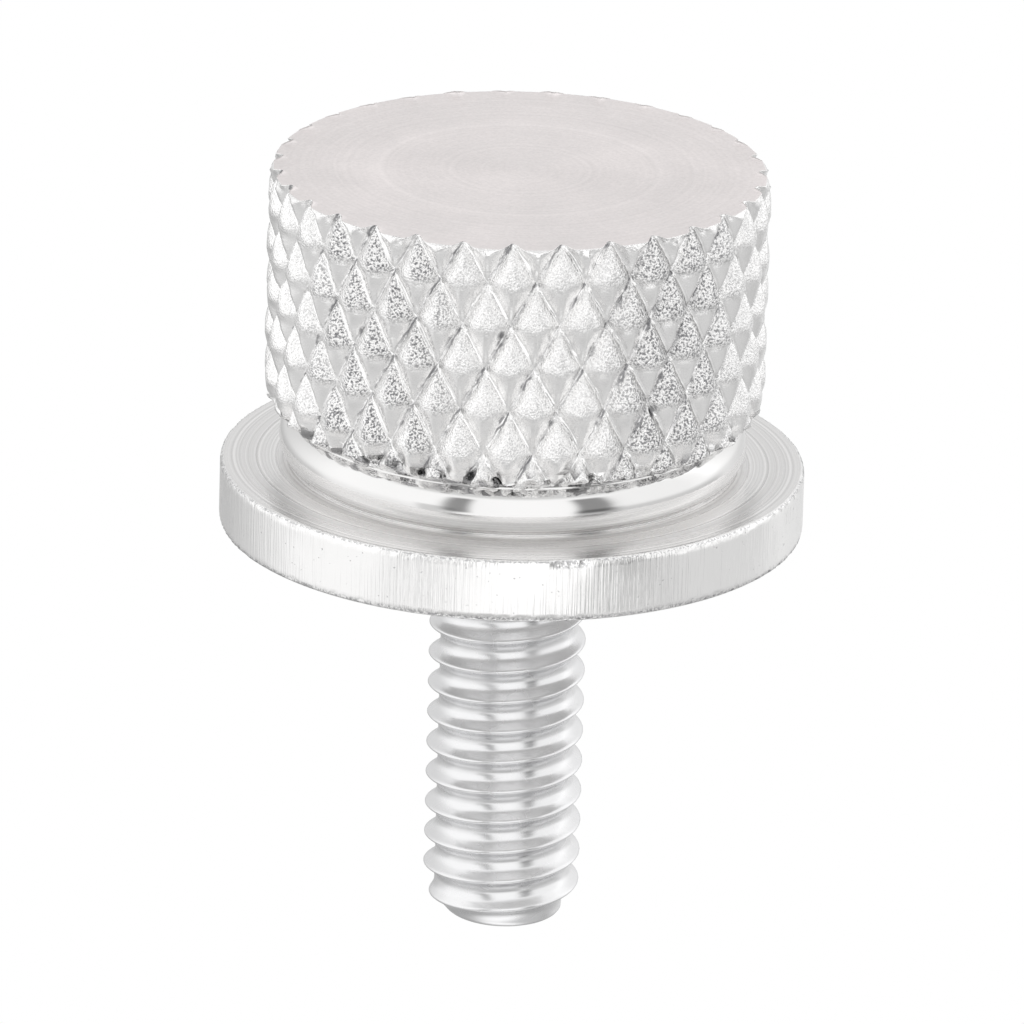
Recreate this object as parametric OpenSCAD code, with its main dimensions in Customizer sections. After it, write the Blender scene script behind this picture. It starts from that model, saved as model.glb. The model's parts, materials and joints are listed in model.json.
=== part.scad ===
// Seat bolt: a thumb bolt turned from one aluminium bar.
// It has a diamond-knurled head, a round bead, a plain flange and a threaded stud.
// It stands on its head: the flat head face lies on z = 0 and the stud points up.

/* [Head] */
// Diameter over the crests of the knurl
head_d = 19.7; // [18.6:0.1:24]
// Height of the knurled head
head_h = 10.2; // [7:0.1:14]
// Break on the edge of the head face
head_edge = 0.22; // [0.05:0.01:0.4]
// Height of the chamfer that ends the knurl on the bead's side
head_chamfer_h = 0.6; // [0.3:0.05:1.2]
// How far that chamfer comes in from the crests
head_chamfer_w = 0.95; // [0.5:0.05:1.1]

/* [Knurl] */
// Number of diamonds around the head
knurl_count = 31; // [24:1:40]
// Angle of the grooves to the bolt's axis
knurl_angle = 29.7; // [24:0.1:34]
// Depth of the grooves below the crests
knurl_depth = 0.55; // [0.4:0.05:1]
// Width of the rounded crest on each diamond
crest_w = 1.05; // [0.3:0.05:1.3]
// How far the crest rises above its shoulders
crest_rise = 0.15; // [0.05:0.01:0.25]
// Distance from the head face to the first row of groove crossings
knurl_start = 1.65; // [0.1:0.05:2]

/* [Bead] */
// Gap between the head and the flange, which the bead fills
bead_gap = 2; // [1.5:0.1:3]
// Diameter over the bead
bead_d = 18.4; // [16:0.1:18.6]
// How far the bead's round section sinks into the head and the flange
bead_sink = 0.15; // [0.05:0.05:0.3]

/* [Flange] */
// Diameter of the flange
flange_d = 23; // [20:0.1:28]
// Thickness of the flange
flange_h = 2.5; // [1.5:0.1:4]
// Break on the flange's two edges
flange_edge = 0.12; // [0.05:0.01:0.3]

/* [Stud] */
// Outside diameter of the thread, 1/4-20 UNC
stud_d = 6.2; // [5:0.1:8]
// Length of the stud beyond the flange's seat
stud_l = 16.5; // [8:0.5:30]
// Chamfer on the end of the stud
stud_chamfer = 0.78; // [0.3:0.02:1]
// Length of the plain shank between the seat and the thread
plain_l = 2.55; // [2:0.05:5]
// Pitch of the thread, right-hand
thread_pitch = 1.27; // [0.8:0.01:1.6]
// Depth of the thread below its crests
thread_depth = 0.5; // [0.3:0.05:0.8]
// Angle around the axis at which the thread starts
thread_turn = 243; // [0:1:360]

/* [Hidden] */
aluminium = [0.83, 0.82, 0.81];
$fn = 96;

// Heights along the axis, from the head face up
flange_z = head_h + bead_gap;
seat_z = flange_z + flange_h;
end_z = seat_z + stud_l;

// The bead's section is a circle halfway between the head and the flange
bead_r = bead_gap / 2 + bead_sink;
neck_r = bead_d / 2 - bead_r;
bead_z = head_h + bead_gap / 2;

// Radii of the thread: crests and roots
stud_r = stud_d / 2;
root_r = stud_r - thread_depth;

// Half of the thread's section, from crest to root, along the axis in half pitches and outwards in depths:
// a narrow crest, just below the outside of the plain shank, and flanks that round into a wide root
half_ridge = [[0.1, 0.95], [0.4, 0.4], [0.6, 0.16], [0.9, -0.1]];
ridge = concat([for (k = [3:-1:0]) [-half_ridge[k][0], half_ridge[k][1]]], half_ridge);
ridge_n = len(ridge);

// The ridge starts inside the plain shank and runs on past the end of the stud, which trims it
ridge_start = plain_l - thread_depth - thread_pitch / 2;
turn_steps = 24;
ridge_steps = ceil((stud_l - ridge_start + thread_pitch) / thread_pitch * turn_steps);

// Radii of the knurl: groove bottoms, shoulders of the crests and crests
crest_r = head_d / 2;
groove_r = crest_r - knurl_depth;
shoulder_r = crest_r - crest_rise;

// Half of one diamond: as an angle around the head, as a width, and as a height along the head
half_turn = 180 / knurl_count;
half_w = PI * head_d / (2 * knurl_count);
row_h = half_w / tan(knurl_angle);

// A diamond's sides run towards a sharp tip and stop at the shoulders of its crest
side_share = 1 - crest_w / (2 * half_w);
tip_r = groove_r + (shoulder_r - groove_r) / side_share;

// The rows of diamonds start below the head face and run on past the head, which trims them
first_row = -2;
last_row = ceil((head_h - knurl_start) / row_h) + 1;

function around(r, angle, z) = [r * cos(angle), r * sin(angle), z];
function row_z(row) = knurl_start + row * row_h;

// Every second row of diamonds is turned by half a diamond
function stagger(row) = abs(row) % 2;
function diamond_angle(row, i) = (2 * i + stagger(row)) * half_turn;

// Groove crossings lie between the diamonds of a row, with one more row of them past each end
function crossing(row, i) = around(groove_r, diamond_angle(row, i) + half_turn, row_z(row));
function crossing_index(row, i) =
    (row - first_row + 1) * knurl_count + (i + knurl_count) % knurl_count;

// The four crossings around a diamond: to its right, above it, to its left and below it
function corner_indices(row, i) =
    let (beside = i - 1 + stagger(row))
    [
        crossing_index(row, i),
        crossing_index(row + 1, beside),
        crossing_index(row, i - 1),
        crossing_index(row - 1, beside),
    ];

// A diamond's own five points: four shoulders on the way from its corners to its tip, and its crest
function crest_points(row, i, crossings) =
    let (
        angle = diamond_angle(row, i),
        tip = around(tip_r, angle, row_z(row))
    )
    [
        for (k = corner_indices(row, i)) crossings[k] + side_share * (tip - crossings[k]),
        around(crest_r, angle, row_z(row)),
    ];

// Four sides and four crest facets of a diamond, with its own points from index n on
function diamond_faces(corners, n) = [
    for (k = [0:3])
        let (next = (k + 1) % 4)
        each [
            [corners[k], n + k, n + next, corners[next]],
            [n + k, n + 4, n + next],
        ]
];

// The zigzag edge where the lattice ends: crossings of the end row and of the row past it, in turn
function end_edge(row, past) = [
    for (i = [0:knurl_count - 1])
        each [crossing_index(past, i - 1 + stagger(row)), crossing_index(row, i)]
];

// The lattice of diamonds, closed at both ends by facets that meet on the axis
module knurled_bar() {
    crossings = [
        for (row = [first_row - 1:last_row + 1], i = [0:knurl_count - 1]) crossing(row, i)
    ];
    crests = [
        for (row = [first_row:last_row], i = [0:knurl_count - 1]) each crest_points(row, i, crossings)
    ];
    faces = [
        for (row = [first_row:last_row], i = [0:knurl_count - 1])
            let (own = len(crossings) + 5 * ((row - first_row) * knurl_count + i))
            each diamond_faces(corner_indices(row, i), own)
    ];
    low_center = len(crossings) + len(crests);
    high_center = low_center + 1;
    low_edge = end_edge(first_row, first_row - 1);
    high_edge = end_edge(last_row, last_row + 1);
    edge_n = 2 * knurl_count;
    low_cap = [for (k = [0:edge_n - 1]) [low_edge[k], low_edge[(k + 1) % edge_n], low_center]];
    high_cap = [for (k = [0:edge_n - 1]) [high_edge[(k + 1) % edge_n], high_edge[k], high_center]];
    polyhedron(
        points = concat(crossings, crests, [[0, 0, row_z(first_row)], [0, 0, row_z(last_row)]]),
        faces = concat(faces, low_cap, high_cap),
        convexity = 8
    );
}

// The head as turned: a flat face with a broken edge, and a chamfer on the bead's side.
// Both run out past the crests
module head_envelope() {
    rim_r = crest_r + head_chamfer_w;
    rotate_extrude() polygon([
        [0, 0],
        [crest_r - head_edge, 0],
        [rim_r, head_edge + head_chamfer_w],
        [rim_r, head_h - 2 * head_chamfer_h],
        [crest_r - head_chamfer_w, head_h],
        [0, head_h],
    ]);
}

module head() {
    intersection() {
        knurled_bar();
        head_envelope();
    }
}

// Neck and flange as one turned profile
module flange() {
    flange_r = flange_d / 2;
    rotate_extrude() polygon([
        [0, head_h],
        [neck_r, head_h],
        [neck_r, flange_z],
        [flange_r - flange_edge, flange_z],
        [flange_r, flange_z + flange_edge],
        [flange_r, seat_z - flange_edge],
        [flange_r - flange_edge, seat_z],
        [0, seat_z],
    ]);
}

function ridge_point(step, k) =
    around(
        root_r + ridge[k][1] * thread_depth,
        thread_turn + step * 360 / turn_steps,
        seat_z + ridge_start + step * thread_pitch / turn_steps + ridge[k][0] * thread_pitch / 2
    );

// One helical ridge, with a flat end at each side
module thread_ridge() {
    points = [for (step = [0:ridge_steps], k = [0:ridge_n - 1]) ridge_point(step, k)];
    sides = [
        for (step = [0:ridge_steps - 1], k = [0:ridge_n - 1])
            let (
                a = step * ridge_n + k,
                b = step * ridge_n + (k + 1) % ridge_n
            )
            each [[a, b, a + ridge_n], [b, b + ridge_n, a + ridge_n]]
    ];
    last = ridge_steps * ridge_n;
    ends = [
        [for (k = [ridge_n - 1:-1:0]) k],
        [for (k = [0:ridge_n - 1]) last + k],
    ];
    polyhedron(points = points, faces = concat(sides, ends), convexity = 20);
}

// The stud's outside over the crests, with its chamfered end
module stud_envelope() {
    rotate_extrude() polygon([
        [0, seat_z],
        [stud_r, seat_z],
        [stud_r, end_z - stud_chamfer],
        [stud_r - stud_chamfer, end_z],
        [0, end_z],
    ]);
}

// The plain shank, tapered to the thread's roots, and the core of the thread
module stud_core() {
    rotate_extrude() polygon([
        [0, flange_z],
        [stud_r, flange_z],
        [stud_r, seat_z + plain_l - thread_depth],
        [root_r, seat_z + plain_l],
        [root_r, end_z],
        [0, end_z],
    ]);
}

module stud() {
    intersection() {
        union() {
            stud_core();
            thread_ridge();
        }
        stud_envelope();
    }
}

module bead() {
    rotate_extrude() translate([neck_r, bead_z]) circle(bead_r);
}

module seat_bolt() {
    color(aluminium) union() {
        head();
        bead();
        flange();
        stud();
    }
}

seat_bolt();
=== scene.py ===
import json
import math

import bpy
import numpy as np
from mathutils import Matrix, Vector


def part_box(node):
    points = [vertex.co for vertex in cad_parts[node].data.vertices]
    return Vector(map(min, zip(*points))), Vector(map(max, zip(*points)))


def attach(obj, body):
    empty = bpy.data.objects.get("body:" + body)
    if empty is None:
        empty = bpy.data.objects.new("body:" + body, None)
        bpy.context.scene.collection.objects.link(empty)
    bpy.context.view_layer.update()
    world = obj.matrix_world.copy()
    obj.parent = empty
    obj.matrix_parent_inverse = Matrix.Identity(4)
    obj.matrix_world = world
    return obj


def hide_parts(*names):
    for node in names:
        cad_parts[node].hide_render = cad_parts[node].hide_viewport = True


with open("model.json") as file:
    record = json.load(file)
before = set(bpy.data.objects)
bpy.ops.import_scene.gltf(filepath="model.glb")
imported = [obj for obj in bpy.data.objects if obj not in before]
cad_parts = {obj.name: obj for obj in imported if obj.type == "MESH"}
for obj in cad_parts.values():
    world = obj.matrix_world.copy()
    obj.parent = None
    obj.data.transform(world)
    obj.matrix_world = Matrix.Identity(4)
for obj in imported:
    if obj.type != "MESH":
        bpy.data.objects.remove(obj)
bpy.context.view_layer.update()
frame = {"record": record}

MM = 0.001

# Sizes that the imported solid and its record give
BOX_LOW, BOX_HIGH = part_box("seat_bolt")
MOUNTS = {m["name"]: m for m in frame["record"]["mounts"]}
FLANGE_R = -BOX_LOW.x
END_Z = BOX_HIGH.z
SEAT_Z = MOUNTS["flange_seat"]["pos_m"][2]
STUD_R = MOUNTS["thread_stud"]["dims"]["r_mm"] * MM

# Sizes of the head and its knurl, as in the solid
HEAD_R = 9.85 * MM
HEAD_H = 10.2 * MM
HEAD_EDGE = 0.22 * MM
CHAMFER_H = 0.6 * MM
CHAMFER_W = 0.95 * MM
KNURL_COUNT = 31
KNURL_ANGLE = math.radians(29.7)
KNURL_DEPTH = 0.55 * MM
KNURL_START = 1.65 * MM
ROW_H = math.pi * HEAD_R / KNURL_COUNT / math.tan(KNURL_ANGLE)
CREST_GAP = 0.01 * MM
FACE_R = HEAD_R - KNURL_DEPTH - 0.5 * MM

# Sizes of the bead and the flange, as in the solid
BEAD_R = 1.15 * MM
BEAD_OUT_R = 9.2 * MM
FLANGE_Z = HEAD_H + 2 * MM
FLANGE_EDGE = 0.12 * MM

# The thread, right-hand: straight flanks between a narrow round crest and a wide round root
PITCH = 1.27 * MM
FLANK = math.radians(60)
ROOT_ROUND = 0.5 * MM
CREST_ROUND = 0.14 * MM
ROOT_HALF = ROOT_ROUND * math.sin(FLANK)
ROOT_H = ROOT_ROUND * (1 - math.cos(FLANK))
THREAD_DEPTH = ROOT_H + (PITCH / 2 - ROOT_HALF) * math.tan(FLANK) - CREST_ROUND
STUD_CHAMFER = 0.78 * MM
END_R = STUD_R - STUD_CHAMFER
END_TAPER = 1.5 * MM
PLAIN_L = 2.55 * MM
END_ROUND = 0.25 * MM
END_STEPS = (0.64, 0.32, 0.12, 0)
THREAD_TURN = -0.44

# How finely the mesh is cut. Two rings close to a corner keep its two sides flat
STEPS = 10
HEAD_N = KNURL_COUNT * 2 * STEPS
FACE_N = HEAD_N // 10
STUD_N = HEAD_N // 5
STUD_ROWS = 280
CHAMFER_ROWS = 8
BEAD_ROWS = 14
CORNER = 0.06 * MM

# Wear and unevenness, from one seeded generator. Noise has a number of cells around the bolt, each so high
RNG = np.random.default_rng(20)
WOBBLE = 0.035 * MM
WOBBLE_CELLS, WOBBLE_CELL_H = 96, 0.6 * MM
RIPPLE = 0.025 * MM
RIPPLE_CELLS, RIPPLE_CELL_H = 160, 0.35 * MM
RAGGED = 0.32 * MM
RAGGED_H = 1.2 * MM
RAGGED_CELLS, RAGGED_CELL_H = 124, 0.36 * MM
TORN_H = 1.1 * MM
CHAMFER_RELIEF = 0.3
BURR = 0.06 * MM
NICK_COUNT = 70
NICK_R = 0.16 * MM
NICK_DEPTH = 0.16 * MM
# Larger nicks on the knurl: degrees around the head, millimetres from the head face, and size
LARGE_NICKS = ((269.3, 3.7, 1.1), (252.5, 4.5, 0.7), (231.3, 7.3, 1.3))
# A chip on the flange's edge: degrees around the flange, its half width in degrees, and its depth
CHIP_AT, CHIP_HALF, CHIP_DEPTH = 253.9, 4.2, 0.12 * MM
EDGE_WEAR = 0.05 * MM
WORN_CELLS = 300

# The head face has a crisp edge, with small chips between the tips of the knurl
FACE_EDGE_H = 0.03 * MM
FACE_CHIP = 0.22 * MM
FACE_CHIP_H = 0.4 * MM

# Where the knurl's grooves run out on the head face they have pushed up a lip
LIP_H = 0.16 * MM
LIP_REACH = 0.6 * MM
LIP_INSET = 0.3 * MM
LIP_CELLS = 48

# The camera, as the photograph sees the bolt, in the bolt's own directions
CAMERA_ELEVATION = math.radians(20.27)
CAMERA_ROLL = math.radians(1.6)
CAMERA_TURN = math.radians(-4.12)
CAMERA_DISTANCE = 0.52
CAMERA_LENS = 464.0
CAMERA_SENSOR = 36.0
PHOTO_SIDE = 1024
AIM_PIXEL = (510.7, 519.0)

FACE, KNURL, BEAD, FLANGE, RIM, THREAD = range(6)

# What the materials need to know of a point: how grainy it is, whether it lies in a nick, how much
# painted shade and torn-edge speckle darken it, and whether it is torn
MARKS = ("grain", "nick", "etch", "torn")


def smoothstep(low, high, x):
    t = np.clip((x - low) / (high - low), 0, 1)
    return t * t * (3 - 2 * t)


def ring_angles(n):
    return np.arange(n) * 2 * math.pi / n


def periodic_noise(angle, height, cells, cell_h):
    """Smooth noise from -1 to 1 on a round surface: cells around it, each cell_h high."""
    rows = int(END_Z / cell_h) + 3
    grid = RNG.uniform(-1, 1, (rows, cells))
    u = (angle / (2 * math.pi) % 1) * cells
    v = np.clip(height / cell_h, 0, rows - 2)
    i, j = np.floor(v).astype(int), np.floor(u).astype(int)
    s, t = smoothstep(0, 1, v - i), smoothstep(0, 1, u - j)
    j, k = j % cells, (j + 1) % cells
    low = grid[i, j] * (1 - t) + grid[i, k] * t
    high = grid[i + 1, j] * (1 - t) + grid[i + 1, k] * t
    return low * (1 - s) + high * s


class Skin:
    """One closed mesh, made ring by ring from the middle of the head face to the end of the stud."""

    def __init__(self):
        self.points, self.faces, self.uvs, self.slots = [], [], [], []
        self.marks = {title: [] for title in MARKS}

    def ring(self, angle, r, z, **marks):
        """Adds a ring of points with their marks, and returns their numbers."""
        first = len(self.points)
        r, z = (np.broadcast_to(x, angle.shape) for x in (r, z))
        self.points += list(zip(r * np.cos(angle), r * np.sin(angle), z))
        for title in MARKS:
            self.marks[title] += list(np.broadcast_to(marks.get(title, 0.0), angle.shape))
        return np.arange(first, first + len(angle))

    def band(self, a, b, uv_a, uv_b, slot, slant=None):
        """Joins two rings of as many points. slant says which way each four-sided face is halved."""
        n = len(a)
        for j in range(n):
            k = (j + 1) % n
            corners = [a[j], a[k], b[k], b[j]]
            uv = [uv_a[j], uv_a[j + 1], uv_b[j + 1], uv_b[j]]
            if slant is None:
                self.face(corners, uv, slot)
            elif slant[j]:
                self.face([corners[i] for i in (0, 1, 3)], [uv[i] for i in (0, 1, 3)], slot)
                self.face([corners[i] for i in (1, 2, 3)], [uv[i] for i in (1, 2, 3)], slot)
            else:
                self.face([corners[i] for i in (0, 1, 2)], [uv[i] for i in (0, 1, 2)], slot)
                self.face([corners[i] for i in (0, 2, 3)], [uv[i] for i in (0, 2, 3)], slot)

    def step_band(self, a, b, uv_a, uv_b, slot):
        """Joins two rings, one of which has a whole number of times the other's points."""
        wide = len(a) // len(b)
        if wide > 1:
            for j in range(len(b)):
                outer = [wide * j + i for i in range(wide + 1)]
                corners = [a[i % len(a)] for i in outer] + [b[(j + 1) % len(b)], b[j]]
                self.face(corners, [uv_a[i] for i in outer] + [uv_b[j + 1], uv_b[j]], slot)
            return
        wide = len(b) // len(a)
        for j in range(len(a)):
            outer = [wide * j + i for i in range(wide, -1, -1)]
            corners = [a[j], a[(j + 1) % len(a)]] + [b[i % len(b)] for i in outer]
            self.face(corners, [uv_a[j], uv_a[j + 1]] + [uv_b[i] for i in outer], slot)

    def cap(self, a, uv_a, z, uv_center, slot, closes):
        """Closes a ring to a point on the axis, before the ring or, if closes, after it."""
        center = len(self.points)
        self.points.append((0, 0, z))
        for title in MARKS:
            self.marks[title].append(0.0)
        n = len(a)
        for j in range(n):
            k = (j + 1) % n
            if closes:
                self.face([a[j], a[k], center], [uv_a[j], uv_a[j + 1], uv_center], slot)
            else:
                self.face([center, a[k], a[j]], [uv_center, uv_a[j + 1], uv_a[j]], slot)

    def face(self, corners, uv, slot):
        self.faces.append([int(c) for c in corners])
        self.uvs += uv
        self.slots.append(slot)

    def build(self, name, materials):
        mesh = bpy.data.meshes.new(name)
        mesh.from_pydata(self.points, [], self.faces)
        for material in materials:
            mesh.materials.append(material)
        mesh.polygons.foreach_set("material_index", self.slots)
        mesh.polygons.foreach_set("use_smooth", [True] * len(self.faces))
        uv = mesh.uv_layers.new(name="OFBake")
        uv.data.foreach_set("uv", np.array(self.uvs, np.float32).ravel())
        for title, values in self.marks.items():
            mesh.attributes.new(title, "FLOAT", "POINT").data.foreach_set("value", values)
        mesh.validate()
        mesh.update()
        piece = bpy.data.objects.new(name, mesh)
        bpy.context.scene.collection.objects.link(piece)
        return piece


# The map: one scale for all regions, so that strips and discs share the square
MAP_SCALE = 0.98 / (2 * math.pi * HEAD_R)
MAP_EDGE = 0.01


def strip_map(n, left, bottom, wide, along):
    """Map places of a ring on an unrolled strip, along up from the strip's bottom."""
    u = left + wide * np.arange(n + 1) / n
    return np.stack([u, np.full(n + 1, bottom + along)], 1)


def disc_map(n, center, r):
    """Map places of a ring of a flat disc."""
    angle = np.arange(n + 1) * 2 * math.pi / n
    r = np.append(r, np.atleast_1d(r)[0]) if np.ndim(r) else r
    return np.array(center) + MAP_SCALE * np.stack([r * np.cos(angle), r * np.sin(angle)], 1)


# Places on the map: two flange discs below, the head face and the stud over them, the strips on top
FLANGE_DISC = MAP_SCALE * (FLANGE_R + 0.4 * MM)
FACE_DISC = MAP_SCALE * (HEAD_R + 0.4 * MM)
TOP_MAP = (FLANGE_DISC, FLANGE_DISC)
SEAT_MAP = (3 * FLANGE_DISC, FLANGE_DISC)
FACE_MAP = (FACE_DISC, 2 * FLANGE_DISC + FACE_DISC)
STUD_MAP = (2 * FACE_DISC + MAP_EDGE, 2 * FLANGE_DISC + MAP_EDGE)
STUD_MAP_WIDE = MAP_SCALE * 2 * math.pi * STUD_R
END_MAP = (STUD_MAP[0] + STUD_MAP_WIDE + MAP_SCALE * STUD_R + MAP_EDGE, STUD_MAP[1] + 0.1)
KNURL_MAP = 2 * (FLANGE_DISC + FACE_DISC) + MAP_EDGE
BEAD_MAP = KNURL_MAP + MAP_SCALE * HEAD_H + MAP_EDGE
BEAD_MAP_STEP = 0.2 * MM
RIM_MAP = BEAD_MAP + MAP_SCALE * (BEAD_ROWS + 1) * BEAD_MAP_STEP + MAP_EDGE


def knurl_places():
    """Heights of the knurl's rows: the head face, the lattice's own steps and the chamfer's steps."""
    step = ROW_H / STEPS
    own = np.arange(KNURL_START % step, HEAD_H - CHAMFER_H, step)
    chamfer = np.linspace(HEAD_H - CHAMFER_H, HEAD_H, CHAMFER_ROWS)
    return np.concatenate([[0, FACE_EDGE_H], own[own > 0.4 * step], chamfer])


def lattice(angle, z):
    """Where points lie in their diamonds: across each family of grooves, from -0.5 to 0.5."""
    around = angle / (2 * math.pi) * KNURL_COUNT
    along = (z - KNURL_START) / (2 * ROW_H)
    p, q = around + along, around - along
    return p - np.round(p), q - np.round(q)


FIRST_GROOVE = 0.447
RIDGE_SHARP = 9
FACE_SIDE_BULGE = 2.7
BEAD_SIDE_BULGE = 1.6


def diamond_height(fp, fq):
    """Height over the groove bottoms: a pyramid with bulging sides, rounded over its ridges."""
    fp = np.clip(fp, -FIRST_GROOVE, FIRST_GROOVE)
    across = (np.abs(fp) ** RIDGE_SHARP + np.abs(fq) ** RIDGE_SHARP) ** (1 / RIDGE_SHARP)
    bead_side = smoothstep(-0.05, 0.12, (fp - fq) / 2)
    bulge = FACE_SIDE_BULGE + (BEAD_SIDE_BULGE - FACE_SIDE_BULGE) * bead_side
    return KNURL_DEPTH * (1 - (2 * across) ** bulge)


def turned_from(angle, at):
    """Angles from at to angle, the shorter way around."""
    return (angle - at + math.pi) % (2 * math.pi) - math.pi


def nicks(angle, z):
    """Small pits along the second family of grooves, and a few larger ones."""
    places = [(math.radians(a), along * MM, size) for a, along, size in LARGE_NICKS]
    for _ in range(NICK_COUNT):
        along = RNG.uniform(0.2, 0.95) * HEAD_H
        groove = RNG.integers(0, KNURL_COUNT) + 0.5 + (along - KNURL_START) / (2 * ROW_H)
        places.append((groove * 2 * math.pi / KNURL_COUNT, along, RNG.uniform(0.5, 1)))
    depth = np.zeros_like(angle)
    for at, along, size in places:
        far = np.hypot(turned_from(angle, at) * HEAD_R, (z - along) * 0.6) / (NICK_R * size)
        depth += NICK_DEPTH * size * np.clip(1 - far, 0, 1)
    return depth


# Where painted shade darkens the knurl's speckle, in degrees around the head: from and to, softness,
# strength and which side of each diamond has it, -1 for one side alone and 0 for both
SPECKLE_SHADE_ZONES = ((282, 319, 8, 1.0, -1), (208, 241, 8, 0.95, 0))


def speckle_shade(angle, side):
    """How much painted shade darkens the knurl's speckle and roughens its bump, from 0 to 1."""
    degrees = np.degrees(angle) % 360
    deep = np.zeros_like(angle)
    for low, high, soft, strength, one_side in SPECKLE_SHADE_ZONES:
        zone = smoothstep(low - soft, low + soft, degrees) * smoothstep(high + soft, high - soft, degrees)
        deep += zone * strength * (smoothstep(0.16, -0.1, side) if one_side else 1)
    return deep


def knurl_surface(a, z):
    """The knurl at angles a and heights z: turn, radius and height of its points, and their marks."""
    fp, fq = lattice(a, z)
    height = diamond_height(fp, fq)
    pits = nicks(a, z)
    r = HEAD_R - KNURL_DEPTH + height - pits + RIPPLE * periodic_noise(a, z, RIPPLE_CELLS, RIPPLE_CELL_H)
    ragged = np.abs(periodic_noise(a, z, RAGGED_CELLS, RAGGED_CELL_H))
    ragged = ragged * smoothstep(HEAD_H - RAGGED_H, HEAD_H - CHAMFER_H / 2, z)
    r -= RAGGED * ragged
    around = a / (2 * math.pi) * KNURL_COUNT
    off_crossing = np.abs((around + 0.5) % 1 - 0.5)
    chips = np.clip(RNG.uniform(-0.6, 1, KNURL_COUNT), 0, 1)[np.floor(around).astype(int)]
    r -= FACE_CHIP * chips * smoothstep(0.2, 0.42, off_crossing) * np.clip(1 - z / FACE_CHIP_H, 0, 1)

    chamfer = HEAD_R - CHAMFER_W * np.clip((z - HEAD_H + CHAMFER_H) / CHAMFER_H, 0, 1)
    relief = CHAMFER_RELIEF * (KNURL_DEPTH - height) * smoothstep(HEAD_H - CHAMFER_H, HEAD_H, z)
    chamfer -= relief + RAGGED * ragged
    chamfer = np.maximum(chamfer, BEAD_OUT_R - BEAD_R / 2)
    r = np.minimum(np.minimum(r, HEAD_R - HEAD_EDGE + z), np.minimum(chamfer, HEAD_R - CREST_GAP))

    inside = smoothstep(0, ROW_H / 2, z) * smoothstep(0, CHAMFER_H, HEAD_H - z)
    turn = a + WOBBLE / HEAD_R * periodic_noise(a, z, WOBBLE_CELLS, WOBBLE_CELL_H) * inside
    lift = z + WOBBLE * periodic_noise(a, z, WOBBLE_CELLS, WOBBLE_CELL_H) * inside
    uneven = (1 + 0.25 * periodic_noise(a, z * 0, LIP_CELLS, MM)) / 1.25
    lip = smoothstep(0.27, 0.02, off_crossing) * uneven
    lift += LIP_H * (1 - lip) * (1 - smoothstep(0, LIP_REACH, z))

    grain = np.maximum(smoothstep(0.1, -0.04, (fp - fq) / 2), ragged)
    grain *= 1 - smoothstep(0.43, 0.5, np.abs(fp))
    marks = {
        "grain": grain,
        "nick": np.clip(pits / NICK_DEPTH, 0, 1),
        # Painted shade: the speckle is darker in given zones around the head; the torn edge's ragged metal
        # adds its own speckle
        "etch": grain * speckle_shade(a, fp + fq) + 0.4 * smoothstep(0.35, 0.7, ragged),
        "torn": smoothstep(HEAD_H - TORN_H, HEAD_H - 0.5 * TORN_H, z),
    }
    return turn, r, lift, marks


def add_face(skin):
    """The middle of the head face. Returns its last ring and that ring's places on the map."""
    inner_r = FACE_R * 0.3
    inner = skin.ring(ring_angles(FACE_N), inner_r, LIP_H)
    outer = skin.ring(ring_angles(FACE_N), FACE_R, LIP_H)
    uv_inner, uv_outer = (disc_map(FACE_N, FACE_MAP, r) for r in (inner_r, FACE_R))
    skin.cap(inner, uv_inner, LIP_H, np.array(FACE_MAP), FACE, closes=False)
    skin.band(inner, outer, uv_inner, uv_outer, FACE)
    return outer, uv_outer


def add_head(skin):
    """The head face, the knurl and its chamfer. Returns the last ring."""
    angle = ring_angles(HEAD_N)
    rows = knurl_places()
    turn, r, lift, marks = knurl_surface(*np.meshgrid(angle, rows))
    last, last_uv = add_face(skin)
    rings = [
        skin.ring(turn[i], r[i], lift[i], **{title: values[i] for title, values in marks.items()})
        for i in range(len(rows))
    ]
    foot_r = np.minimum(r[0] - LIP_INSET, HEAD_R - HEAD_EDGE - LIP_INSET)
    for share in (0, 0.5, 0.8):
        shared_r = foot_r + LIP_INSET * share
        new = skin.ring(angle, shared_r, LIP_H - (LIP_H - lift[0]) * share**2)
        new_uv = disc_map(HEAD_N, FACE_MAP, shared_r)
        join = skin.step_band if share == 0 else skin.band
        join(last, new, last_uv, new_uv, FACE)
        last, last_uv = new, new_uv
    skin.band(last, rings[0], last_uv, disc_map(HEAD_N, FACE_MAP, r[0]), FACE)
    wide = MAP_SCALE * 2 * math.pi * HEAD_R
    middle = angle + math.pi / HEAD_N
    for i in range(len(rows) - 1):
        mid_fp, mid_fq = lattice(middle, np.full(HEAD_N, (rows[i] + rows[i + 1]) / 2))
        uv = [strip_map(HEAD_N, MAP_EDGE, KNURL_MAP, wide, MAP_SCALE * rows[k]) for k in (i, i + 1)]
        skin.band(rings[i], rings[i + 1], *uv, KNURL, slant=np.abs(mid_fp) >= np.abs(mid_fq))
    return rings[-1]


def add_bead(skin, ring):
    """The end of the head, the bead and the crease on the flange. Returns the last ring."""
    angle = ring_angles(HEAD_N)
    middle_r, middle_z = BEAD_OUT_R - BEAD_R, (HEAD_H + FLANGE_Z) / 2
    top = math.asin((FLANGE_Z - HEAD_H) / 2 / BEAD_R)
    wide = MAP_SCALE * 2 * math.pi * HEAD_R
    last_uv = strip_map(HEAD_N, MAP_EDGE, BEAD_MAP, wide, 0)
    along = 0
    last = ring
    for slope in np.linspace(-top, top, BEAD_ROWS):
        new = skin.ring(angle, middle_r + BEAD_R * math.cos(slope), middle_z + BEAD_R * math.sin(slope))
        along += BEAD_MAP_STEP
        new_uv = strip_map(HEAD_N, MAP_EDGE, BEAD_MAP, wide, MAP_SCALE * along)
        skin.band(last, new, last_uv, new_uv, BEAD)
        last, last_uv = new, new_uv
    return last


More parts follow.
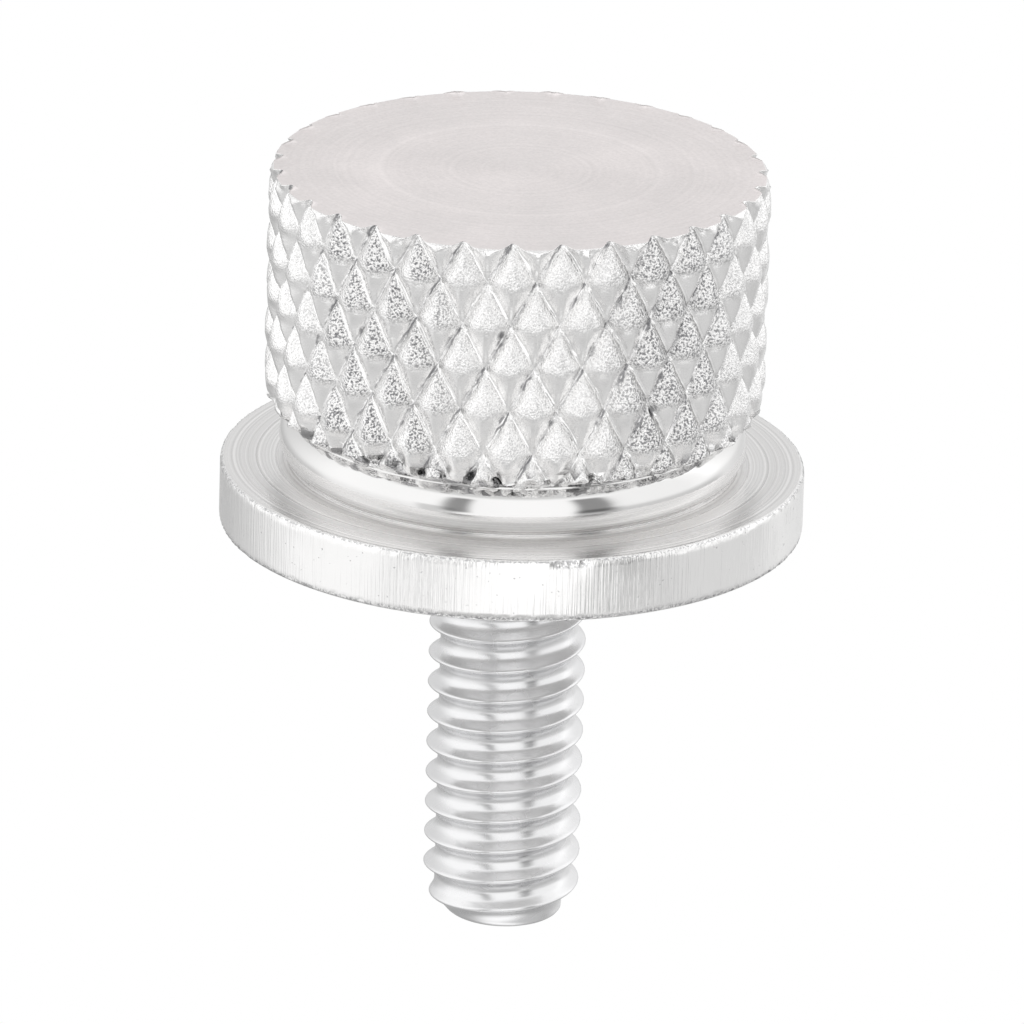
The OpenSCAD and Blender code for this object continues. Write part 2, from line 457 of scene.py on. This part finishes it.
def worn(angle, cells):
    """How far a sharp edge is worn back, from 0 to 1: mostly little, with a few deeper spots."""
    noise = periodic_noise(angle, np.zeros_like(angle), cells, MM)
    return 0.15 + 0.25 * np.abs(noise) + 0.6 * smoothstep(0.75, 1, noise)


def add_flange(skin, ring):
    """The flange from the bead's crease over its rim to the stud. Returns the last ring."""
    angle = ring_angles(HEAD_N)
    crease_r = BEAD_OUT_R - BEAD_R + math.sqrt(BEAD_R**2 - ((FLANGE_Z - HEAD_H) / 2) ** 2)
    edge = FLANGE_EDGE
    last, last_uv = ring, disc_map(HEAD_N, TOP_MAP, crease_r)
    for r in (crease_r + 0.05 * MM, (crease_r + FLANGE_R) / 2, FLANGE_R - 2 * edge, FLANGE_R - edge):
        wear = EDGE_WEAR * worn(angle, WORN_CELLS) * (r > FLANGE_R - 1.5 * edge)
        new = skin.ring(angle, r - wear, FLANGE_Z)
        new_uv = disc_map(HEAD_N, TOP_MAP, r)
        skin.band(last, new, last_uv, new_uv, FLANGE)
        last, last_uv = new, new_uv

    wide = 1 - 2 * MAP_EDGE
    thick = SEAT_Z - FLANGE_Z
    last_uv = strip_map(HEAD_N, MAP_EDGE, RIM_MAP, wide, 0)
    from_top = [edge / 2, edge, 2 * edge, 3 * edge]
    heights = from_top + [thick / 2] + [thick - h for h in reversed(from_top)]
    off_chip = np.abs(np.degrees(turned_from(angle, math.radians(CHIP_AT))))
    chip = smoothstep(CHIP_HALF, 0.6 * CHIP_HALF, off_chip)
    for h in heights:
        near_edge = min(h, thick - h)
        inset = edge - math.sqrt(edge**2 - (edge - min(near_edge, edge)) ** 2)
        at_edge = near_edge <= edge
        wear = (EDGE_WEAR * worn(angle, WORN_CELLS) + BURR * RNG.uniform(0, 1, HEAD_N) ** 3) * at_edge
        rough = np.full(HEAD_N, float(near_edge < edge))
        if h <= 2 * edge:
            wear += CHIP_DEPTH * chip * RNG.uniform(0.3, 1, HEAD_N)
            rough = np.maximum(rough, chip)
        new = skin.ring(angle, FLANGE_R - inset - wear, FLANGE_Z + h, grain=rough)
        new_uv = strip_map(HEAD_N, MAP_EDGE, RIM_MAP, wide, MAP_SCALE * h)
        skin.band(last, new, last_uv, new_uv, RIM)
        last, last_uv = new, new_uv

    last_uv = disc_map(HEAD_N, SEAT_MAP, FLANGE_R)
    for r in (FLANGE_R - edge, FLANGE_R - 2 * edge, (FLANGE_R + STUD_R) / 2):
        new = skin.ring(angle, r, SEAT_Z)
        new_uv = disc_map(HEAD_N, SEAT_MAP, r)
        skin.band(last, new, last_uv, new_uv, FLANGE)
        last, last_uv = new, new_uv
    for r, join in ((STUD_R + CORNER, skin.step_band), (STUD_R, skin.band)):
        new = skin.ring(ring_angles(STUD_N), r, SEAT_Z)
        new_uv = disc_map(STUD_N, SEAT_MAP, r)
        join(last, new, last_uv, new_uv, FLANGE)
        last, last_uv = new, new_uv
    return last


def thread_radius(angle, z):
    """Radius of the stud: a plain shank, a thread with narrow crests and wide round roots, and a taper."""
    phase = (z - SEAT_Z) / PITCH - angle / (2 * math.pi) + THREAD_TURN
    off_crest = np.abs(phase - np.round(phase)) * PITCH
    off_root = np.minimum(PITCH / 2 - off_crest, ROOT_HALF)
    fillet = THREAD_DEPTH - ROOT_ROUND + np.sqrt(ROOT_ROUND**2 - off_root**2)
    flank = np.hypot(off_crest * math.tan(FLANK), CREST_ROUND) - CREST_ROUND
    r = STUD_R - np.minimum(fillet, flank)
    r = np.maximum(r, np.minimum(STUD_R, STUD_R - THREAD_DEPTH + SEAT_Z + PLAIN_L - z))
    taper = np.clip(1 - (END_Z - z) / END_TAPER, 0, 1)
    return STUD_R - (STUD_R - END_R) * taper**1.7 - (STUD_R - r) * (1 - 0.5 * taper)


def add_stud(skin, ring):
    """The threaded stud and its end."""
    angle = ring_angles(STUD_N)
    along = np.linspace(0, 1, STUD_ROWS + 1)
    first_z = SEAT_Z + PLAIN_L - THREAD_DEPTH
    rows = first_z + (END_Z - END_ROUND - first_z) * along
    rounded = END_Z - END_ROUND * np.array(END_STEPS)
    rows = np.concatenate([[SEAT_Z + CORNER], rows, rounded])
    last, last_uv = ring, strip_map(STUD_N, STUD_MAP[0], STUD_MAP[1], STUD_MAP_WIDE, 0)
    for z in rows:
        rounding = np.clip((z - END_Z + END_ROUND) / END_ROUND, 0, 1)
        r = thread_radius(angle, z) - END_ROUND * (1 - math.sqrt(1 - rounding**2))
        new = skin.ring(angle, r, z)
        along = MAP_SCALE * (z - SEAT_Z) * 1.2
        new_uv = strip_map(STUD_N, STUD_MAP[0], STUD_MAP[1], STUD_MAP_WIDE, along)
        skin.band(last, new, last_uv, new_uv, THREAD)
        last, last_uv = new, new_uv
    last_uv = disc_map(STUD_N, END_MAP, END_R)
    new = skin.ring(angle, END_R * 0.6, END_Z)
    new_uv = disc_map(STUD_N, END_MAP, END_R * 0.6)
    skin.band(last, new, last_uv, new_uv, THREAD)
    skin.cap(new, new_uv, END_Z, np.array(END_MAP), THREAD, closes=True)


def node(tree, kind, inputs=None, **settings):
    """A new node with its settings, and its inputs set to values or linked to other nodes' outputs."""
    new = tree.nodes.new(kind)
    for key, value in settings.items():
        setattr(new, key, value)
    for key, value in (inputs or {}).items():
        if isinstance(value, bpy.types.NodeSocket):
            tree.links.new(value, new.inputs[key])
        else:
            new.inputs[key].default_value = value
    return new


def math_node(tree, operation, a, b=0.0, clamp=False):
    return node(tree, "ShaderNodeMath", {0: a, 1: b}, operation=operation, use_clamp=clamp).outputs[0]


def product(tree, *values):
    """All values multiplied."""
    total = values[0]
    for value in values[1:]:
        total = math_node(tree, "MULTIPLY", total, value)
    return total


def weighted(tree, *parts):
    """The sum of values, each times its weight."""
    total = product(tree, *parts[0])
    for part in parts[1:]:
        total = math_node(tree, "ADD", total, product(tree, *part))
    return total


def rest_of(tree, value):
    """What is left of 1 when value is taken away."""
    return math_node(tree, "SUBTRACT", 1, value)


def stretched(tree, place, shares):
    """The place with each direction times its share."""
    return node(tree, "ShaderNodeVectorMath", {0: place, 1: shares}, operation="MULTIPLY").outputs[0]


def soft_step(tree, value, low, high, start=0.0, end=1.0):
    """Goes smoothly from start to end while value goes from low to high."""
    inputs = {"Value": value, "From Min": low, "From Max": high, "To Min": start, "To Max": end}
    return node(tree, "ShaderNodeMapRange", inputs, interpolation_type="SMOOTHSTEP").outputs[0]


def noise(tree, vector, scale, detail=2.0, **inputs):
    return node(
        tree, "ShaderNodeTexNoise", {"Vector": vector, "Scale": scale, "Detail": detail, **inputs}
    ).outputs[0]


def metal(name, roughness, anisotropic=0.0):
    """A bare aluminium material. Returns it with its tree, its shader and its place on the object."""
    material = bpy.data.materials.new(name)
    material.use_nodes = True
    tree = material.node_tree
    shader = tree.nodes["Principled BSDF"]
    shader.inputs["Metallic"].default_value = 1.0
    shader.inputs["Roughness"].default_value = roughness
    shader.inputs["Anisotropic"].default_value = anisotropic
    if anisotropic:
        tangent = node(tree, "ShaderNodeTangent", direction_type="RADIAL", axis="Z")
        tree.links.new(tangent.outputs[0], shader.inputs["Tangent"])
    place = node(tree, "ShaderNodeTexCoord").outputs["Object"]
    return material, tree, shader, place


def tint(tree, shader, value, low, high):
    """Colours the metal from low to high as value goes from 0 to 1."""
    mix = node(tree, "ShaderNodeMix", {"Factor": value}, data_type="RGBA")
    colour = [s for s in mix.outputs if s.type == "RGBA"][0]
    for key, value in (("A", low), ("B", high)):
        socket = [s for s in mix.inputs if s.type == "RGBA" and s.name == key][0]
        socket.default_value = (*value, 1)
    tree.links.new(colour, shader.inputs["Base Color"])


def bump(tree, shader, height, distance, strength=1.0, below=None):
    inputs = {"Height": height, "Distance": distance, "Strength": strength}
    if below is not None:
        inputs["Normal"] = below
    normal = node(tree, "ShaderNodeBump", inputs).outputs[0]
    tree.links.new(normal, shader.inputs["Normal"])
    return normal


def from_axis(tree, place):
    """Distance from the bolt's axis."""
    flat = stretched(tree, place, (1, 1, 0))
    return node(tree, "ShaderNodeVectorMath", {0: flat}, operation="LENGTH").outputs["Value"]


def turning_lines(tree, place, scale, detail=4.0):
    """Noise that changes only with the distance from the axis, as a lathe tool leaves it."""
    radius = from_axis(tree, place)
    return node(
        tree, "ShaderNodeTexNoise", {"W": radius, "Scale": scale, "Detail": detail}, noise_dimensions="1D"
    ).outputs[0]


# A paler ring on the head face: the radii where it starts, is palest and ends
FACE_RING = (5.1 * MM, 5.5 * MM, 6.0 * MM)


def face_material():
    """The faced end of the head: an even, fine satin with faint rings."""
    material, tree, shader, place = metal("head_face", 0.42, 0.35)
    lines = turning_lines(tree, place, 5000)
    cloud = noise(tree, place, 250, 3)
    radius = from_axis(tree, place)
    ring = product(
        tree,
        soft_step(tree, radius, FACE_RING[0], FACE_RING[1]),
        soft_step(tree, radius, FACE_RING[1], FACE_RING[2], 1, 0),
    )
    fine = math_node(tree, "SUBTRACT", noise(tree, place, 9000, 3), 0.5)
    mixed = weighted(tree, (lines, 0.4), (cloud, 0.7), (ring, 0.13), (fine, 0.9))
    tint(tree, shader, mixed, (0.76, 0.723, 0.718), (0.98, 0.932, 0.926))
    tree.links.new(soft_step(tree, cloud, 0.3, 0.7, 0.38, 0.48), shader.inputs["Roughness"])
    bump(tree, shader, lines, 0.002 * MM, 0.5)
    return material


def off_middle(tree, value):
    """How far a value is from the nearest whole number, from -0.5 to 0.5."""
    return math_node(tree, "SUBTRACT", math_node(tree, "FRACT", math_node(tree, "ADD", value, 0.5)), 0.5)


def lattice_nodes(tree, place, wander):
    """As lattice, for a place on the head, with lines that wander."""
    x, y, z = node(tree, "ShaderNodeSeparateXYZ", {0: place}).outputs
    around = math_node(tree, "MULTIPLY", math_node(tree, "ARCTAN2", y, x), KNURL_COUNT / (2 * math.pi))
    along = math_node(tree, "DIVIDE", math_node(tree, "SUBTRACT", z, KNURL_START), 2 * ROW_H)
    p, q = math_node(tree, "ADD", around, along), math_node(tree, "SUBTRACT", around, along)
    return off_middle(tree, p), off_middle(tree, math_node(tree, "ADD", q, wander))


# Painted shade: dark lines in one family of grooves, which wander by a share of a diamond
GROOVE_SHADE_WANDER = 0.22

# Torn facets: how many to a metre, how far they tilt, and how dark the dark ones are
TORN_SCALE = 1700
TORN_TILT = 2.0
TORN_DARK = 0.6


def torn_facets(tree, place, torn):
    """Small broken facets, each tilted its own way. Returns their normal and how dark they are."""
    cell = node(tree, "ShaderNodeTexVoronoi", {"Vector": place, "Scale": TORN_SCALE}).outputs["Color"]
    red, green, blue = node(tree, "ShaderNodeSeparateColor", {0: cell}).outputs
    amount = math_node(tree, "MULTIPLY", torn, soft_step(tree, green, 0.2, 0.4))
    middle = (0.5, 0.5, 0.5)
    tilt = node(tree, "ShaderNodeVectorMath", {0: cell, 1: middle}, operation="SUBTRACT").outputs[0]
    strength = math_node(tree, "MULTIPLY", amount, TORN_TILT)
    tilt = node(tree, "ShaderNodeVectorMath", {0: tilt, "Scale": strength}, operation="SCALE").outputs[0]
    flat = node(tree, "ShaderNodeNewGeometry").outputs["Normal"]
    normal = node(tree, "ShaderNodeVectorMath", {0: flat, 1: tilt}, operation="ADD").outputs[0]
    normal = node(tree, "ShaderNodeVectorMath", {0: normal}, operation="NORMALIZE").outputs[0]
    dark = math_node(tree, "MULTIPLY", amount, soft_step(tree, red, 0.62, 0.7, 0, TORN_DARK))
    return normal, dark


def knurl_material():
    """The knurl: finely etched on the sides towards the head face, smoother on the others."""
    material, tree, shader, place = metal("knurl", 0.3)
    grain, nick, etch, torn = (
        node(tree, "ShaderNodeAttribute", attribute_name=title).outputs["Fac"] for title in MARKS
    )
    fine = noise(tree, place, 12000, 2)
    coarse = noise(tree, place, 3000, 2)
    height = weighted(tree, (fine, 1.0), (coarse, 0.5))
    rough = weighted(tree, (grain, 0.5), (etch, 0.5))
    height = product(tree, height, math_node(tree, "ADD", rough, 0.12))
    # Dark speckle: the grain's own, darker still where painted shade and the torn edge call for it
    dark = weighted(tree, (grain, 0.2), (etch, 0.8))
    speckle = product(tree, soft_step(tree, fine, 0.36, 0.56, 1, 0), dark)

    wander = math_node(tree, "SUBTRACT", noise(tree, place, 1800, 3), 0.5)
    fp, fq = lattice_nodes(tree, place, product(tree, wander, GROOVE_SHADE_WANDER))
    to_groove = math_node(tree, "SUBTRACT", 0.5, math_node(tree, "ABSOLUTE", fq))
    # Painted shade along the bottoms of one family of grooves, stronger on one side of each diamond
    groove_shade = product(
        tree,
        soft_step(tree, to_groove, 0.01, 0.042, 1, 0),
        soft_step(tree, fp, -0.2, 0.4, 1, 0.25),
        soft_step(tree, noise(tree, place, 1100, 2), 0.38, 0.56, 0.12, 0.9),
    )
    facet_normal, facet_dark = torn_facets(tree, place, torn)
    tone_factor = product(
        tree,
        rest_of(tree, speckle),
        rest_of(tree, groove_shade),
        # Painted shade in the nicks, darker as they deepen
        soft_step(tree, nick, 0.1, 0.7, 1, 0.15),
        rest_of(tree, facet_dark),
    )
    tint(tree, shader, tone_factor, (0.22, 0.22, 0.23), (0.98, 0.975, 0.97))
    tree.links.new(soft_step(tree, grain, 0, 1, 0.22, 0.27), shader.inputs["Roughness"])
    bump(tree, shader, height, 0.08 * MM, 0.9, below=facet_normal)
    return material


def bead_material():
    """The bead: bright from a polished form tool, with hair-fine lines around it."""
    material, tree, shader, place = metal("bead", 0.1, 0.3)
    lines = noise(tree, stretched(tree, place, (0, 0, 1)), 9000, 3)
    cloud = noise(tree, place, 400, 2)
    tint(tree, shader, cloud, (0.76, 0.755, 0.75), (0.82, 0.815, 0.81))
    tree.links.new(soft_step(tree, cloud, 0.3, 0.7, 0.07, 0.15), shader.inputs["Roughness"])
    bump(tree, shader, lines, 0.002 * MM, 0.4)
    return material


def flange_material():
    """The flange's flat sides: turned, with rings that catch the light across them."""
    material, tree, shader, place = metal("flange_side", 0.3, 0.75)
    lines = turning_lines(tree, place, 9000, 5)
    broad = turning_lines(tree, place, 1500, 2)
    fine = math_node(tree, "MULTIPLY", math_node(tree, "SUBTRACT", lines, 0.25), 2)
    tint(tree, shader, fine, (0.7, 0.695, 0.69), (0.99, 0.98, 0.975))
    tree.links.new(soft_step(tree, broad, 0.3, 0.7, 0.2, 0.31), shader.inputs["Roughness"])
    bump(tree, shader, lines, 0.006 * MM, 0.8)
    return material


def rim_material():
    """The rim: drawn lines along the axis, and small pits."""
    material, tree, shader, place = metal("flange_rim", 0.22)
    lines = noise(tree, stretched(tree, place, (1, 1, 0.02)), 13000, 3)
    patches = soft_step(tree, noise(tree, place, 260, 2), 0.35, 0.6, 0.3, 1)
    pits = soft_step(tree, noise(tree, place, 6000, 1), 0.2, 0.27)
    edge = node(tree, "ShaderNodeAttribute", attribute_name="grain").outputs["Fac"]
    burr = product(tree, edge, soft_step(tree, noise(tree, place, 9000, 2), 0.42, 0.56, 0.7, 0))
    height = weighted(tree, (lines, patches), (pits, 0.5))
    tone_factor = product(tree, soft_step(tree, pits, 0, 1, 0.55, 1), rest_of(tree, burr))
    tint(tree, shader, tone_factor, (0.36, 0.36, 0.37), (0.92, 0.915, 0.91))
    bump(tree, shader, height, 0.035 * MM, 0.8)
    return material


def thread_material():
    """The thread: rolled smooth and glossy."""
    material, tree, shader, place = metal("thread", 0.2)
    cloud = noise(tree, place, 700, 2)
    tint(tree, shader, cloud, (0.76, 0.76, 0.767), (0.83, 0.83, 0.835))
    tree.links.new(soft_step(tree, cloud, 0.3, 0.7, 0.23, 0.3), shader.inputs["Roughness"])
    bump(tree, shader, noise(tree, place, 1800, 2), 0.008 * MM, 0.5)
    return material


def build_bolt():
    skin = Skin()
    ring = add_head(skin)
    ring = add_bead(skin, ring)
    ring = add_flange(skin, ring)
    add_stud(skin, ring)
    makers = (face_material, knurl_material, bead_material, flange_material, rim_material, thread_material)
    bolt = skin.build("turned_bolt", [make() for make in makers])
    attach(bolt, "root")
    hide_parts("seat_bolt")
    return bolt


def add_camera():
    """Looks at the bolt from its head's side, turned over so that the head is up in the picture."""
    camera = bpy.data.objects.new("camera", bpy.data.cameras.new("camera"))
    camera.data.lens = CAMERA_LENS
    camera.data.sensor_width = CAMERA_SENSOR
    camera.data.clip_start = 0.01
    camera.data.shift_x = (PHOTO_SIDE / 2 - AIM_PIXEL[0]) / PHOTO_SIDE
    camera.data.shift_y = (AIM_PIXEL[1] - PHOTO_SIDE / 2) / PHOTO_SIDE
    level = Vector((math.sin(CAMERA_TURN), -math.cos(CAMERA_TURN), 0))
    back = level * math.cos(CAMERA_ELEVATION) + Vector((0, 0, -math.sin(CAMERA_ELEVATION)))
    right = Vector((0, 0, -1)).cross(back).normalized()
    up = back.cross(right)
    turn = Matrix((right, up, back)).transposed().to_4x4() @ Matrix.Rotation(CAMERA_ROLL, 4, "Z")
    camera.matrix_world = Matrix.Translation(Vector((0, 0, SEAT_Z)) + back * CAMERA_DISTANCE) @ turn
    bpy.context.scene.collection.objects.link(camera)
    bpy.context.scene.camera = camera


FLOOR_SIDE = 0.6
FLOOR_GAP = 0.02 * MM


def add_floor():
    """A pale floor that only a camera above it sees, so that the view from below has it clear."""
    bpy.ops.mesh.primitive_plane_add(size=FLOOR_SIDE, location=(0, 0, -FLOOR_GAP))
    floor = bpy.context.object
    floor.name = "floor"
    material = bpy.data.materials.new("floor")
    material.use_nodes = True
    tree = material.node_tree
    shader = tree.nodes["Principled BSDF"]
    shader.inputs["Base Color"].default_value = (0.86, 0.86, 0.86, 1)
    shader.inputs["Roughness"].default_value = 0.9
    shader.inputs["Specular IOR Level"].default_value = 0.1
    behind = node(tree, "ShaderNodeNewGeometry").outputs["Backfacing"]
    camera_ray = node(tree, "ShaderNodeLightPath").outputs["Is Camera Ray"]
    shown = math_node(tree, "SUBTRACT", camera_ray, behind, clamp=True)
    clear = node(tree, "ShaderNodeBsdfTransparent").outputs[0]
    mix = node(tree, "ShaderNodeMixShader", {0: shown, 1: clear, 2: shader.outputs[0]})
    tree.links.new(mix.outputs[0], tree.nodes["Material Output"].inputs["Surface"])
    floor.data.materials.append(material)


def between(tree, value, low, high, soft):
    """1 while value is between low and high, with soft edges."""
    rise = soft_step(tree, value, low - soft, low + soft)
    return math_node(tree, "MULTIPLY", rise, soft_step(tree, value, high - soft, high + soft, 1, 0))


# Darker parts of the tent, in degrees from the camera's side: turn from and to, rise from and to,
# softness of the edges, and the share of the light that is missing there, or added if below 0
TENT_PATCHES = (
    (-33, -20, -16, 38, 5, 0.72),
    (32, 50, -16, 38, 5, 0.72),
    (-46, -27, -27, -2, 5, 0.35),
    (32, 54, -28, -4, 5, 0.5),
    (-40, 38, -46, -28, 5, 0.4),
    (-80, 80, 46, 95, 9, 0.35),
    (52, 98, -6, 42, 8, 0.08),
    (108, 165, 0, 48, 8, -0.22),
    (50, 122, -45, -8, 10, 0.38),
    (-115, -45, -40, -8, 15, 0.12),
    (-179, -105, -45, -8, 12, 0.3),
)
TENT_LEVEL = 1.2
TENT_LOW_LEVEL = 0.62
TENT_FLOOR_GLOW = 0.85
TENT_BACK_SHARE = 0.675


def add_world():
    """A white tent: pale below, a little darker at the back, with dark openings beside the camera."""
    world = bpy.data.worlds.new("tent")
    world.use_nodes = True
    bpy.context.scene.world = world
    tree = world.node_tree
    tree.nodes.clear()
    place = node(tree, "ShaderNodeTexCoord").outputs["Generated"]
    axes = node(tree, "ShaderNodeSeparateXYZ", {0: place}).outputs
    x, y, z = (math_node(tree, "MULTIPLY", axis, -1) for axis in axes)
    rise = math_node(tree, "DEGREES", math_node(tree, "ARCSINE", z))
    turn = math_node(tree, "DEGREES", math_node(tree, "ARCTAN2", x, y))
    turn = math_node(tree, "ADD", turn, math.degrees(CAMERA_TURN))
    level = soft_step(tree, rise, -55, -17, TENT_LOW_LEVEL, TENT_LEVEL)
    level = math_node(tree, "ADD", level, soft_step(tree, rise, -82, -62, TENT_FLOOR_GLOW, 0))
    back = soft_step(tree, math_node(tree, "ABSOLUTE", turn), 95, 150, 1, TENT_BACK_SHARE)
    level = math_node(tree, "MULTIPLY", level, back)
    for turn_low, turn_high, rise_low, rise_high, soft, missing in TENT_PATCHES:
        patch = product(
            tree,
            between(tree, turn, turn_low, turn_high, soft),
            between(tree, rise, rise_low, rise_high, soft),
        )
        level = math_node(tree, "MULTIPLY", level, soft_step(tree, patch, 0, 1, 1, 1 - missing))
    tent = node(tree, "ShaderNodeBackground", {"Color": (1, 1, 1, 1), "Strength": level}).outputs[0]
    white = node(tree, "ShaderNodeBackground", {"Color": (1, 1, 1, 1), "Strength": 1.0}).outputs[0]
    camera_ray = node(tree, "ShaderNodeLightPath").outputs["Is Camera Ray"]
    mix = node(tree, "ShaderNodeMixShader", {0: camera_ray, 1: tent, 2: white})
    output = node(tree, "ShaderNodeOutputWorld")
    tree.links.new(mix.outputs[0], output.inputs["Surface"])


def add_lamp(name, place, size, power):
    """A soft square lamp that faces the middle of the bolt."""
    data = bpy.data.lights.new(name, "AREA")
    data.size = size
    data.energy = power
    lamp = bpy.data.objects.new(name, data)
    lamp.location = place
    aim = Vector((0, 0, SEAT_Z)) - Vector(place)
    lamp.rotation_euler = aim.to_track_quat("-Z", "Y").to_euler()
    lamp.visible_glossy = False
    bpy.context.scene.collection.objects.link(lamp)


bpy.context.scene.view_settings.view_transform = "Standard"
add_camera()
add_world()
add_floor()
add_lamp("overhead", (0.05, -0.05, 0.3), 0.2, 0.6)
build_bolt()
